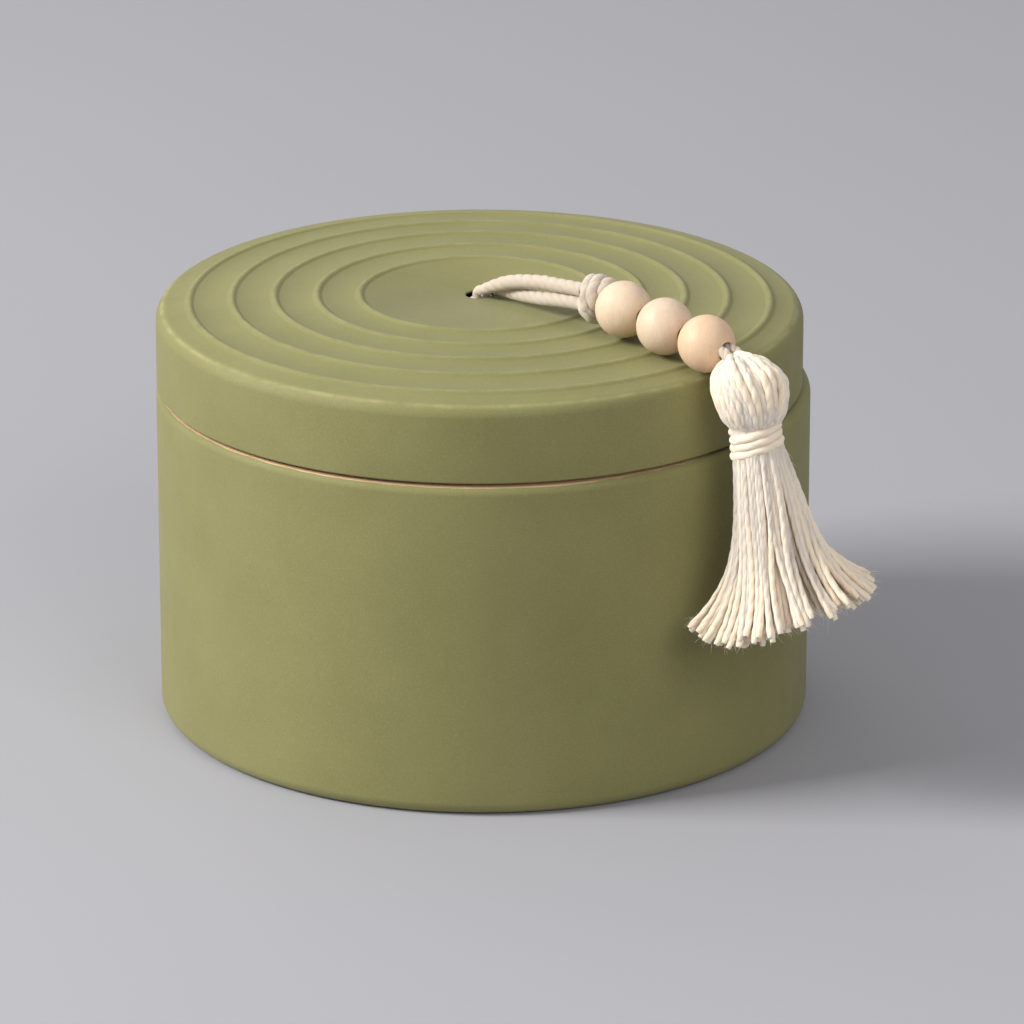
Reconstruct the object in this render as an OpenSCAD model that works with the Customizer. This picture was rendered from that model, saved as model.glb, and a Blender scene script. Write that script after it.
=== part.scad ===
// Candle tin: a drawn round can with a pressed slip lid. A doubled cotton cord
// rises from the lid's middle, runs through three wooden beads and ends in a tassel.
// Millimetres, +Z up, origin at the middle of the can's foot.

/* [Can] */
// Outer diameter of the can
body_d = 140; // [132:1:160]
// Height of the painted wall, up to the top of the shoulder
shoulder_z = 72.6; // [66:0.2:90]
// Thickness of the sheet metal with its paint
sheet = 0.5; // [0.4:0.05:0.6]
// Radius of the rounded bottom corner
corner_r = 3; // [2.5:0.5:5]
// Radius of the rounded shoulder
shoulder_r = 2; // [1.5:0.25:2.5]
// How far the neck is set in from the wall
neck_inset = 3; // [2.8:0.1:4]
// Height of the neck above the shoulder, up to the top of its curl
neck_h = 16.5; // [14:0.1:16.5]
// Height of the bottom panel above the foot
base_lift = 1.5; // [1:0.25:2]
// Width of the flat ring that the can stands on
foot_w = 6; // [4:1:8]

/* [Lid] */
// How far the lid's outside is set in from the can's wall
lid_inset = 0.9; // [0.6:0.1:1]
// How far the loose lid sits off the can's middle, along X
lid_shift = -0.8; // [-0.9:0.1:0]
// Gap between the shoulder and the lid's lower edge
lid_gap = 0.6; // [0.6:0.1:1.5]
// Height of the lid, from its lower edge to the flat of its top
lid_h = 18.6; // [17.5:0.1:19]
// Radius of the lid's rounded corner
lid_corner = 3; // [2.75:0.25:3.5]
// Thickness of the hem along the lid's lower edge
hem_t = 0.9; // [0.8:0.05:1]
// Radius of the lid's flat middle, past which the top falls away
crown_flat_r = 38; // [30:1:45]
// Radius of curvature of the top past its flat middle
crown_curve = 230; // [200:10:300]
// Radius of the innermost pressed ring
ring_r = 25.6; // [24:0.2:27]
// Distance from one pressed ring to the next
ring_pitch = 9.1; // [8.8:0.05:9.2]
// Number of pressed rings
ring_count = 5; // [3:1:5]
// Height of a pressed ring
ring_h = 0.6; // [0.4:0.05:0.7]
// Half the width of a pressed ring
ring_half_w = 1.3; // [1.1:0.1:2]
// Radius of the hole in the lid
hole_r = 3; // [2.9:0.1:3.5]

/* [Candle] */
// Height of the wax surface above the foot
wax_z = 58; // [40:1:60]
// Number of wicks
wick_count = 4; // [4:1:4]
// Distance from the middle to each wick
wick_ring_r = 33; // [25:1:40]
// Radius of a wick
wick_r = 1.3; // [1:0.1:1.5]
// Length of wick above the wax
wick_above = 7; // [5:1:8]
// Radius of a wick tab
tab_r = 10; // [8:0.5:12]
// Height of a wick tab's collar
collar_h = 6; // [4:1:8]

/* [Cord] */
// Diameter of the cord
cord_d = 3; // [2.8:0.1:3]
// Direction of the cord on the lid, turned from +X
cord_angle = -46; // [-60:1:-30]
// Radius of the doubled cord in the lid's hole
throat_r = 2.8; // [2.5:0.05:2.8]
// Radius of the stopper knot under the lid
stopper_r = 5; // [4.5:0.1:5]
// Radius of the knot beside the first bead
knot_r = 5.2; // [4.8:0.1:5.3]
// Thickness of the knot beside the first bead
knot_t = 6; // [5:0.5:6]

/* [Beads] */
// Diameter of a bead
bead_d = 12; // [11.5:0.1:12]
// Distance from one bead to the next
bead_pitch = 12.1; // [12.1:0.1:12.3]
// Radius of a bead's bore
bore_r = 1.9; // [1.85:0.05:2.3]
// Distance of the middle bead from the lid's axis
bead_mid_r = 55.4; // [55:0.1:56]
// Height of the middle bead's centre above the lid's flat middle
bead_mid_h = 5.75; // [5.75:0.05:6]
// Downward slope of the string of beads
bead_slope = 4.3; // [4:0.1:5]

/* [Tassel] */
// Radius of the bulb of yarn
head_r = 7.8; // [7:0.1:7.8]
// Lean of the tassel, outwards from upright
lean = 9; // [8:0.5:10]
// Radius of the binding
binding_r = 6; // [5.5:0.1:6.5]
// Length of the binding
binding_h = 7.6; // [6:0.1:9]
// Distance from the middle of the bulb to the cut ends
skirt_end = 55; // [45:1:55]
// Radius of the skirt at the cut ends
skirt_r = 17.3; // [14:0.1:17.3]

/* [Hidden] */
$fn = 96;

body_r = body_d / 2;
neck_r = body_r - neck_inset;
foot_r = body_r - corner_r - foot_w;
panel_z = base_lift + sheet;
rim_curl_r = 1;
rim_z = shoulder_z + neck_h;
lid_r = body_r - lid_inset;
lid_bottom = shoulder_z + lid_gap;
lid_top = lid_bottom + lid_h;
arc_steps = 8;
lid_arc_top = 80;
fit_gap = 0.05;

sticker_t = 0.8;
tab_t = 0.4;
tab_z = panel_z + sticker_t;
collar_wall = 0.6;

bead_mid_z = lid_top + bead_mid_h;
slope_run = cos(bead_slope);
slope_drop = sin(bead_slope);
knot_back = bead_pitch + bead_d / 2 + 0.1;
throat_drop = 0.4;
eye_r = 1.8;
eye_reach = bead_pitch + bead_d / 2 + 0.5;
eye_x = bead_mid_r + eye_reach * slope_run;
eye_z = bead_mid_z - eye_reach * slope_drop;
core_r = bore_r - 0.1;
head_x = eye_x + 6.3;
head_z = eye_z - 5.7;
binding_start = 7.1;
tie_r = 4.8;

// Routes of the two strands: distance along the cord, sideways, height above the lid's flat.
upper_route = [[0.6, -1.3, 0.4], [0.9, -1.3, 1.2], [3, -1.4, 2.1], [5, -1.3, 3.1],
    [7.6, -1.1, 4.2], [11, -0.7, 5.4], [15.5, -0.3, 6.4], [20, 0, 7.1], [24.5, 0, 7.5],
    [28.5, 0, 7.9], [31.5, 0, 8.1]];
lower_route = [[0.6, 1.35, 0.4], [0.9, 1.45, 1.1], [2.3, 1.6, 1.8], [5, 1.5, 2],
    [8.5, 1.2, 2.2], [12, 0.8, 2.5], [16, 0.4, 3], [20, 0, 3.6], [24.5, 0, 4.3],
    [28.5, 0, 4.8], [31.5, 0, 5.1]];

// Points on an arc round a centre, from one angle to another.
function arc(centre, r, from, to) =
    [for (i = [0 : arc_steps]) let (a = from + (to - from) * i / arc_steps)
        centre + r * [cos(a), sin(a)]];

// Height of the lid's top at a distance from its axis, without the rings.
function crown(r) = lid_top - pow(max(0, r - crown_flat_r), 2) / (2 * crown_curve);

// Outline of one pressed ring.
function ring_points(r) =
    [for (k = [[-1, 0], [-0.45, 0.8], [0, 1], [0.45, 0.8], [1, 0]])
        [r + k[0] * ring_half_w, crown(r + k[0] * ring_half_w) + k[1] * ring_h]];

function reversed(list) = [for (i = [len(list) - 1 : -1 : 0]) list[i]];
function lowered(list, d) = [for (p = list) p - [0, d]];

// Inside of the can from the middle of its floor out to the foot of its wall.
function can_floor() = concat(
    [[0, panel_z], [foot_r - 1.3, panel_z], [foot_r + 0.2, sheet]],
    arc([body_r - corner_r, corner_r], corner_r - sheet, -90, 0));

module can_body() {
    corner = [body_r - corner_r, corner_r];
    shoulder = [body_r - shoulder_r, shoulder_z - shoulder_r];
    outside = concat(
        [[0, base_lift], [foot_r - 1.5, base_lift], [foot_r, 0]],
        arc(corner, corner_r, -90, 0),
        arc(shoulder, shoulder_r, 0, 90),
        [[neck_r + 0.5, shoulder_z], [neck_r, shoulder_z + 0.5], [neck_r, rim_z - rim_curl_r]]);
    inside = concat(
        [[neck_r - sheet, rim_z - rim_curl_r], [neck_r - sheet, shoulder_z + 0.3],
            [neck_r + 0.3, shoulder_z - sheet]],
        arc(shoulder, shoulder_r - sheet, 90, 0),
        reversed(can_floor()));
    color([0.56, 0.56, 0.37])
        rotate_extrude($fn = 180) {
            polygon(concat(outside, inside));
            translate([neck_r - rim_curl_r + 0.05, rim_z - rim_curl_r])
                circle(r = rim_curl_r, $fn = 32);
        }
}

module lid_shell() {
    corner_x = lid_r - lid_corner;
    corner_z = crown(corner_x + lid_corner * cos(lid_arc_top)) - lid_corner * sin(lid_arc_top);
    top = concat(
        [[hole_r, lid_top]],
        [for (i = [0 : ring_count - 1]) each ring_points(ring_r + i * ring_pitch)]);
    rounded = arc([corner_x, corner_z], lid_corner, lid_arc_top, 0);
    hem = [[lid_r, lid_bottom + 0.3], [lid_r - 0.3, lid_bottom], [lid_r - hem_t, lid_bottom],
        [lid_r - hem_t, lid_bottom + 1.6], [lid_r - sheet, lid_bottom + 1.9]];
    rounded_inside = arc([corner_x, corner_z], lid_corner - sheet, 0, lid_arc_top);
    color([0.56, 0.56, 0.37])
        translate([lid_shift, 0, 0])
            rotate_extrude($fn = 180)
                polygon(concat(top, rounded, hem, rounded_inside, reversed(lowered(top, sheet))));
}

// Places its children at each numbered wick's foot.
module at_wick(i) {
    rotate([0, 0, 45 + 360 * (i - 1) / wick_count])
        translate([wick_ring_r, 0, 0])
            children();
}

module wax() {
    fill_r = body_r - sheet - fit_gap;
    color([0.96, 0.93, 0.84])
        difference() {
            rotate_extrude($fn = 180)
                polygon(concat(can_floor(), [[fill_r, corner_r], [fill_r, wax_z], [0, wax_z]]));
            for (i = [1 : wick_count])
                at_wick(i) {
                    translate([0, 0, panel_z - 1])
                        cylinder(r = tab_r + fit_gap, h = tab_z + tab_t - panel_z + 1);
                    translate([0, 0, panel_z])
                        cylinder(r = wick_r + collar_wall + 2 * fit_gap, h = tab_z + collar_h - panel_z);
                    translate([0, 0, panel_z])
                        cylinder(r = wick_r + fit_gap, h = wax_z);
                }
        }
}

module wick(i) {
    color([0.95, 0.94, 0.9])
        at_wick(i)
            translate([0, 0, tab_z + tab_t])
                cylinder(r = wick_r, h = wax_z + wick_above - tab_z - tab_t, $fn = 32);
}

module wick_tab(i) {
    color([0.75, 0.75, 0.76])
        at_wick(i)
            translate([0, 0, tab_z]) {
                cylinder(r = tab_r, h = tab_t);
                difference() {
                    cylinder(r = wick_r + collar_wall, h = collar_h, $fn = 48);
                    translate([0, 0, tab_t])
                        cylinder(r = wick_r + fit_gap, h = collar_h, $fn = 48);
                }
            }
}

module wick_sticker(i) {
    color([0.9, 0.9, 0.88])
        at_wick(i)
            translate([0, 0, panel_z])
                cylinder(r = tab_r - 1, h = sticker_t);
}

// Puts its children in the cord's own frame: X along the cord, Z up, on the lid's axis.
module along_cord() {
    translate([lid_shift, 0, 0])
        rotate([0, 0, cord_angle])
            children();
}

module cotton() {
    color([0.93, 0.89, 0.81])
        children();
}

// Height of the stopper knot's middle, just under the lid.
function stopper_z() = lid_top - sheet - 0.2 - stopper_r;

module stopper_knot() {
    tail_l = 10;
    cotton()
        along_cord()
            translate([0, 0, stopper_z()]) {
                sphere(r = stopper_r);
                for (side = [-1, 1])
                    rotate([180 + side * 14, 0, 0])
                        translate([0, 0, 1])
                            cylinder(d = cord_d, h = tail_l - 1, $fn = 32);
            }
}

module cord_throat() {
    cotton()
        along_cord()
            difference() {
                translate([0, 0, stopper_z()])
                    cylinder(r = throat_r, h = lid_top - throat_drop - stopper_z());
                translate([0, 0, stopper_z()])
                    sphere(r = stopper_r);
            }
}

// A round tube along a route that stays near the cord's upright plane.
module cord_tube(route, d) {
    sides = 8;
    last = len(route) - 1;
    rings = [for (i = [0 : last])
        let (step = route[min(i + 1, last)] - route[max(i - 1, 0)],
            ahead = step / norm(step),
            up = cross(ahead, [0, 1, 0]) / norm(cross(ahead, [0, 1, 0])),
            across = cross(up, ahead))
        for (k = [0 : sides - 1])
            route[i] + d / 2 * (cos(360 * k / sides) * up + sin(360 * k / sides) * across)];
    skin = [for (i = [0 : last - 1]) for (k = [0 : sides - 1])
        [i * sides + k, i * sides + (k + 1) % sides,
            (i + 1) * sides + (k + 1) % sides, (i + 1) * sides + k]];
    start_face = [for (k = [sides - 1 : -1 : 0]) k];
    end_face = [for (k = [0 : sides - 1]) last * sides + k];
    polyhedron(rings, concat([start_face], skin, [end_face]));
}

module strand(route) {
    cotton()
        along_cord()
            translate([0, 0, lid_top])
                cord_tube(route, cord_d);
}

// Puts its children on the string of beads: Z along the string, away from the lid's axis,
// with the middle bead at the origin.
module on_string() {
    along_cord()
        translate([bead_mid_r, 0, bead_mid_z])
            rotate([0, 90 + bead_slope, 0])
                children();
}

module upper_knot() {
    round_r = knot_t / 2;
    cotton()
        on_string()
            translate([0, 0, -knot_back - round_r])
                rotate_extrude() {
                    translate([0, -round_r])
                        square([knot_r - round_r, knot_t]);
                    intersection() {
                        translate([knot_r - round_r, 0])
                            circle(r = round_r);
                        translate([0, -round_r])
                            square([knot_r, knot_t]);
                    }
                }
}

module bead_core() {
    cotton()
        on_string()
            translate([0, 0, -knot_back])
                cylinder(r = core_r, h = knot_back + eye_reach - eye_r - 0.1);
}

module bead(i) {
    color(i == 3 ? [0.88, 0.74, 0.58] : [0.92, 0.82, 0.68])
        on_string()
            translate([0, 0, (i - 2) * bead_pitch])
                difference() {
                    sphere(d = bead_d);
                    cylinder(r = bore_r, h = bead_d + 2, center = true);
                }
}

module tassel_eye() {
    cotton()
        along_cord()
            translate([eye_x, 0, eye_z])
                sphere(r = eye_r, $fn = 48);
}

// Puts its children in the tassel's frame: the bulb's middle at the origin, Z down the tassel.
module on_tassel() {
    along_cord()
        translate([head_x, 0, head_z])
            rotate([0, 180 - lean, 0])
                children();
}

module tassel_head() {
    cotton()
        difference() {
            on_tassel()
                difference() {
                    sphere(r = head_r);
                    translate([0, 0, binding_start])
                        cylinder(r = head_r + 1, h = head_r);
                }
            along_cord()
                translate([eye_x, 0, eye_z])
                    sphere(r = eye_r + 0.2, $fn = 48);
        }
}

module tassel_binding() {
    cotton()
        on_tassel()
            translate([0, 0, binding_start])
                difference() {
                    cylinder(r = binding_r, h = binding_h);
                    translate([0, 0, -1])
                        cylinder(r = tie_r, h = binding_h + 2);
                }
}

module tassel_skirt() {
    binding_end = binding_start + binding_h;
    fall = skirt_end - binding_end;
    flare = skirt_r - binding_r;
    cotton()
        on_tassel()
            rotate_extrude()
                polygon([[0, binding_start], [tie_r - fit_gap, binding_start],
                    [tie_r - fit_gap, binding_end], [binding_r - 0.3, binding_end],
                    [binding_r + 0.18 * flare, binding_end + 0.25 * fall],
                    [binding_r + 0.4 * flare, binding_end + 0.5 * fall],
                    [binding_r + 0.67 * flare, binding_end + 0.75 * fall],
                    [skirt_r, skirt_end], [0, skirt_end]]);
}

can_body();
lid_shell();
wax();
wick(1);  // wick_1
wick(2);  // wick_2
wick(3);  // wick_3
wick(4);  // wick_4
wick_tab(1);  // wick_tab_1
wick_tab(2);  // wick_tab_2
wick_tab(3);  // wick_tab_3
wick_tab(4);  // wick_tab_4
wick_sticker(1);  // wick_sticker_1
wick_sticker(2);  // wick_sticker_2
wick_sticker(3);  // wick_sticker_3
wick_sticker(4);  // wick_sticker_4
stopper_knot();
cord_throat();
strand(upper_route);  // strand_upper
strand(lower_route);  // strand_lower
upper_knot();
bead_core();
bead(1);  // bead_1
bead(2);  // bead_2
bead(3);  // bead_3
tassel_eye();
tassel_head();
tassel_binding();
tassel_skirt();
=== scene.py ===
"""A candle tin with a corded lid, three wooden beads and a cotton tassel, in metres."""

import logging
import math
from dataclasses import dataclass
from enum import Enum
from typing import Sequence

import bmesh
import bpy
import numpy as np
from mathutils import Matrix, Vector, noise


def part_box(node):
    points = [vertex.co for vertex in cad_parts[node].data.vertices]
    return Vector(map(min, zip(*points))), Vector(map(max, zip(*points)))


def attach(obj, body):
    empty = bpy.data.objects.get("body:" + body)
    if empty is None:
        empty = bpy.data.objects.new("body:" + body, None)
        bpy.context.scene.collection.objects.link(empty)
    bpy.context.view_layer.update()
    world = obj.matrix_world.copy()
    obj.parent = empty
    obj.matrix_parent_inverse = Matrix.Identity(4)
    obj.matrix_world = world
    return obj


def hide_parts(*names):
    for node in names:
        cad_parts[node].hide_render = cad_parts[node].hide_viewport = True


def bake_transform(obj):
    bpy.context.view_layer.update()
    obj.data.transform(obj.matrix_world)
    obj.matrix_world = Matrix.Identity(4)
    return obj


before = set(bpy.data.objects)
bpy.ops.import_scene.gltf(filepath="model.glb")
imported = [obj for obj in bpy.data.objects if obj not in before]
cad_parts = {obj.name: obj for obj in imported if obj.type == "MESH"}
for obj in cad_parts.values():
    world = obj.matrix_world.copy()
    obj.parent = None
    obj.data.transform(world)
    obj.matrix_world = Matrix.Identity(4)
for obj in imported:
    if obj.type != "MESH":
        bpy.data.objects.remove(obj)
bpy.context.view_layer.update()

MM = 0.001
Rgb = tuple[float, float, float]
Outline = list[tuple[float, float]]
Array = np.ndarray
Draw = np.random.Generator
BMesh = bmesh.types.BMesh
Material, Mesh, Object, Socket = (
    bpy.types.Material, bpy.types.Mesh, bpy.types.Object, bpy.types.NodeSocket)
log = logging.getLogger("candle_tin")


class Grade(Enum):
    """How finely a laid yarn is made, as the points round it."""

    CORD = 24
    YARN = 10
    INNER = 8
    FIBRE = 3


# ---------------------------------------------------------------- node graphs


@dataclass
class Graph:
    """The node tree of one material, with short calls for the nodes that the finishes use."""

    material: Material

    def feed(self, socket: Socket, value: object) -> None:
        """Links a socket into an input, or sets the input's own value.

        Args:
            socket: The input.
            value: Another node's output, or a plain value.
        """
        if isinstance(value, Socket):
            self.material.node_tree.links.new(value, socket)
        else:
            socket.default_value = value

    def node(self, kind: str, inputs: dict[object, object], **settings: object) -> bpy.types.Node:
        """Adds a node.

        Args:
            kind: The node's type.
            inputs: Values or sockets by the input's name or number.
            **settings: The node's own settings.

        Returns:
            The node.
        """
        made = self.material.node_tree.nodes.new(kind)
        for name, value in settings.items():
            setattr(made, name, value)
        for key, value in inputs.items():
            self.feed(made.inputs[key], value)
        return made

    def dress(self, **inputs: object) -> None:
        """Feeds the shader's inputs, named with underscores for spaces."""
        shader = self.material.node_tree.nodes["Principled BSDF"]
        for name, value in inputs.items():
            self.feed(shader.inputs[name.replace("_", " ")], value)

    def place(self) -> Socket:
        """The point on the piece, in metres."""
        return self.node("ShaderNodeTexCoord", {}).outputs["Object"]

    def own(self, name: str, kind: str = "Fac") -> Socket:
        """What the mesh carries at each point: a number, or a place where the kind is Vector."""
        return self.node("ShaderNodeAttribute", {}, attribute_name=name).outputs[kind]

    def mapped(
        self, vector: Socket, scale: Rgb, turn: Rgb = (0.0, 0.0, 0.0), shift: Rgb = (0.0, 0.0, 0.0),
    ) -> Socket:
        """A copy of a place, stretched, turned in radians and moved in metres."""
        inputs = {"Vector": vector, "Location": shift, "Rotation": turn, "Scale": scale}
        return self.node("ShaderNodeMapping", inputs).outputs[0]

    def noise(self, vector: Socket, scale: float, detail: float = 2.0, warp: float = 0.0) -> Socket:
        """Cloudy noise from 0 to 1, around a half."""
        inputs = {"Vector": vector, "Scale": scale, "Detail": detail, "Distortion": warp}
        return self.node("ShaderNodeTexNoise", inputs).outputs[0]

    def ramp(
        self, value: Socket, low: float, high: float, out_low: float = 0.0, out_high: float = 1.0,
    ) -> Socket:
        """Maps the range from low to high onto the one from out_low to out_high, and clamps it."""
        inputs = {0: value, 1: low, 2: high, 3: out_low, 4: out_high}
        return self.node("ShaderNodeMapRange", inputs).outputs[0]

    def patches(
        self, vector: Socket, scale: float, detail: float = 2.0, low: float = 0.0, high: float = 1.0,
    ) -> Socket:
        """Soft patches that go from one value to another."""
        return self.ramp(self.noise(vector, scale, detail), 0.3, 0.7, low, high)

    def sums(self, operation: str, first: object, second: object = 0.0) -> Socket:
        """One step of arithmetic on two numbers."""
        return self.node("ShaderNodeMath", {0: first, 1: second}, operation=operation).outputs[0]

    def blend(self, share: object, first: object, second: object) -> Socket:
        """Mixes two colours, given as sockets or as red, green and blue."""
        pair = [c if isinstance(c, Socket) else (*c, 1.0) for c in (first, second)]
        inputs = {0: share, 6: pair[0], 7: pair[1]}
        return self.node("ShaderNodeMix", inputs, data_type="RGBA").outputs[2]

    def bump(
        self, height: Socket, depth: float, strength: float = 1.0, over: Socket | None = None,
    ) -> Socket:
        """Relief from a height, on top of an earlier relief where there is one.

        Args:
            height: The height, from 0 to 1.
            depth: How deep it is, in metres.
            strength: Share of the relief that shows.
            over: An earlier relief's normal.

        Returns:
            The new normal.
        """
        inputs: dict[object, object] = {"Height": height, "Distance": depth, "Strength": strength}
        if over is not None:
            inputs["Normal"] = over
        return self.node("ShaderNodeBump", inputs).outputs[0]


# ------------------------------------------------------------------- finishes


@dataclass(frozen=True)
class Finish:
    """A finish, built as one material of the same name."""

    name: str

    def build(self) -> Material:
        """Makes the material."""
        material = bpy.data.materials.new(self.name)
        material.use_nodes = True
        self.wire(Graph(material))
        return material

    def wire(self, graph: Graph) -> None:
        """Joins up the nodes of this finish."""
        raise NotImplementedError


@dataclass(frozen=True)
class OlivePaint(Finish):
    """Matt soft-touch paint, with bare gold lacquer above a height where one is given."""

    shade: Rgb = (0.202, 0.193, 0.071)
    light: Rgb = (0.222, 0.212, 0.081)
    worn_and_highlight: Rgb = (0.33, 0.31, 0.14)
    lacquer: Rgb = (0.82, 0.58, 0.35)
    bare_from: float | None = None
    climb: float = 0.0006

    def wire(self, graph: Graph) -> None:
        """Joins up mottled and speckled paint, a pale rub along the edges that is partly wear and partly
        painted highlight, and the lacquer's edge.
        """
        spot = graph.place()
        colour = graph.blend(graph.patches(spot, 55.0, 3.0), self.shade, self.light)
        speck = graph.noise(spot, 2600.0, 1.0)
        dark = tuple(0.86 * c for c in self.shade)
        colour = graph.blend(graph.ramp(speck, 0.56, 0.72, 0.0, 0.38), colour, dark)
        colour = graph.blend(graph.ramp(speck, 0.44, 0.28, 0.0, 0.20), colour, self.worn_and_highlight)
        # Pale paint where the mesh carries edge: wear at the can's foot, and on the lid both wear and a
        # painted highlight on the ring crests and the top corner.
        scuff = graph.ramp(graph.noise(spot, 240.0, 4.0), 0.30, 0.62)
        rub = graph.sums("MULTIPLY", graph.own("edge"), scuff)
        colour = graph.blend(graph.sums("MULTIPLY", rub, 0.85), colour, self.worn_and_highlight)
        rough = graph.patches(spot, 130.0, 2.0, 0.60, 0.72)
        relief = graph.bump(graph.noise(spot, 1500.0, 2.0), 0.00004, 0.55)
        relief = graph.bump(graph.noise(spot, 85.0, 1.0), 0.00025, 0.35, over=relief)
        graph.dress(Normal=relief, Specular_IOR_Level=0.26, Sheen_Weight=0.06, Sheen_Roughness=0.6)
        if self.bare_from is not None:
            across, _, height = graph.node("ShaderNodeSeparateXYZ", {0: spot}).outputs
            ragged = graph.patches(spot, 190.0, 4.0, -0.00008, 0.00008)
            climb = graph.ramp(across, 0.015, 0.060, 0.0, -self.climb)
            level = graph.sums("ADD", graph.sums("ADD", height, ragged), climb)
            bare = graph.ramp(level, self.bare_from - 0.00005, self.bare_from + 0.00005)
            colour = graph.blend(bare, colour, self.lacquer)
            rough = graph.node("ShaderNodeMix", {0: bare, 2: rough, 3: 0.42}).outputs[0]
            graph.dress(Metallic=graph.sums("MULTIPLY", bare, 0.7))
        graph.dress(Base_Color=colour, Roughness=rough)


@dataclass(frozen=True)
class GoldLacquer(Finish):
    """Clear gold-tinted lacquer over drawn steel, with faint drawing lines."""

    name: str = "gold_lacquer"
    tint: Rgb = (0.82, 0.56, 0.30)
    deep: Rgb = (0.70, 0.44, 0.21)

    def wire(self, graph: Graph) -> None:
        """Joins up cloudy gold and level lines."""
        spot = graph.place()
        lines = graph.noise(graph.mapped(spot, (0.02, 0.02, 1.0)), 2400.0, 2.0)
        colour = graph.blend(graph.patches(spot, 60.0, 3.0), self.deep, self.tint)
        graph.dress(Base_Color=colour, Roughness=graph.patches(spot, 90.0, 2.0, 0.24, 0.36),
                    Metallic=0.95, Normal=graph.bump(lines, 0.00002, 0.5))


@dataclass(frozen=True)
class SoyWax(Finish):
    """Poured soy wax, creamy and slightly frosted."""

    name: str = "soy_wax"
    cream: Rgb = (0.90, 0.84, 0.70)
    frost: Rgb = (0.95, 0.92, 0.83)

    def wire(self, graph: Graph) -> None:
        """Joins up a frosted bloom over soft relief."""
        spot = graph.place()
        bloom = graph.ramp(graph.noise(spot, 75.0, 5.0, 0.6), 0.42, 0.66)
        relief = graph.bump(graph.noise(spot, 420.0, 3.0), 0.00006, 0.5)
        relief = graph.bump(graph.noise(spot, 45.0, 2.0), 0.0006, 0.4, over=relief)
        graph.dress(Base_Color=graph.blend(bloom, self.cream, self.frost), Normal=relief,
                    Roughness=graph.patches(spot, 160.0, 3.0, 0.38, 0.58),
                    Subsurface_Weight=0.35, Subsurface_Scale=0.004)


@dataclass(frozen=True)
class Cotton(Finish):
    """Cotton yarn: fibres that follow the plies, with painted shade in the grooves between them."""

    pale: Rgb
    deep: Rgb
    fibre_scale: float = 5600.0
    relief: float = 0.00009

    def wire(self, graph: Graph) -> None:
        """Joins up fibres and slubs, each yarn in its own tone."""
        lie = graph.own("fibre", "Vector")
        strands = graph.noise(graph.mapped(lie, (1.0, 1.0, 0.07)), self.fibre_scale, 2.0)
        slubs = graph.noise(graph.mapped(lie, (1.0, 1.0, 0.35)), 900.0, 2.0)
        # Painted shade: where crest is low, between the plies, the colour goes to deep.
        crest = graph.ramp(graph.own("crest"), 0.5, 0.98)
        lift = graph.sums("ADD", graph.sums("MULTIPLY", strands, 0.7),
                          graph.sums("MULTIPLY", crest, 0.75))
        colour = graph.blend(graph.ramp(lift, 0.35, 0.95), self.deep, self.pale)
        warm = tuple(a * b for a, b in zip(self.pale, (0.97, 0.92, 0.82)))
        colour = graph.blend(graph.ramp(slubs, 0.5, 0.75, 0.0, 0.5), colour, warm)
        colour = graph.blend(graph.ramp(graph.own("tone"), 0.0, 1.0, 0.0, 0.5), colour, warm)
        relief = graph.bump(strands, self.relief, 0.8)
        relief = graph.bump(slubs, 0.0002, 0.3, over=relief)
        graph.dress(Base_Color=colour, Roughness=0.88, Specular_IOR_Level=0.22, Normal=relief,
                    Sheen_Weight=0.25, Sheen_Roughness=0.45, Subsurface_Weight=0.45,
                    Subsurface_Scale=0.0014, Subsurface_Radius=(1.0, 0.8, 0.5))


@dataclass(frozen=True)
class BeadWood(Finish):
    """Pale turned wood with a fine straight grain and a satin rub."""

    centre: tuple[float, float, float]
    pale: Rgb
    grain: Rgb
    turn: Rgb

    def wire(self, graph: Graph) -> None:
        """Joins up the grain, turned its own way about the bead's centre, and its pores."""
        centred = graph.mapped(graph.place(), (1.0, 1.0, 1.0), shift=tuple(-c for c in self.centre))
        turned = graph.mapped(centred, (1.0, 1.0, 0.10), turn=self.turn)
        broad = graph.noise(turned, 420.0, 3.0, 0.4)
        fine = graph.noise(turned, 3600.0, 2.0)
        pores = graph.ramp(graph.noise(graph.mapped(turned, (1.0, 1.0, 0.6)), 5200.0, 1.0), 0.64, 0.74)
        share = graph.sums("ADD", graph.ramp(broad, 0.38, 0.66, 0.0, 0.45),
                           graph.ramp(fine, 0.4, 0.7, 0.0, 0.30))
        colour = graph.blend(share, self.pale, self.grain)
        dark = tuple(0.72 * c for c in self.grain)
        colour = graph.blend(graph.sums("MULTIPLY", pores, 0.35), colour, dark)
        graph.dress(Base_Color=colour, Roughness=graph.ramp(broad, 0.3, 0.7, 0.46, 0.60),
                    Normal=graph.bump(fine, 0.00003, 0.4), Specular_IOR_Level=0.35,
                    Subsurface_Weight=0.08, Subsurface_Scale=0.0015)


@dataclass(frozen=True)
class TabSteel(Finish):
    """Bright tinned steel with faint rolling lines."""

    name: str = "tab_steel"
    bright: Rgb = (0.72, 0.72, 0.73)
    dull: Rgb = (0.55, 0.55, 0.57)

    def wire(self, graph: Graph) -> None:
        """Joins up the rolling lines."""
        spot = graph.place()
        lines = graph.noise(graph.mapped(spot, (1.0, 0.04, 1.0)), 3000.0, 2.0)
        graph.dress(Base_Color=graph.blend(lines, self.dull, self.bright), Metallic=1.0,
                    Roughness=graph.patches(spot, 300.0, 2.0, 0.28, 0.45),
                    Normal=graph.bump(lines, 0.00001, 0.5))


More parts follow.
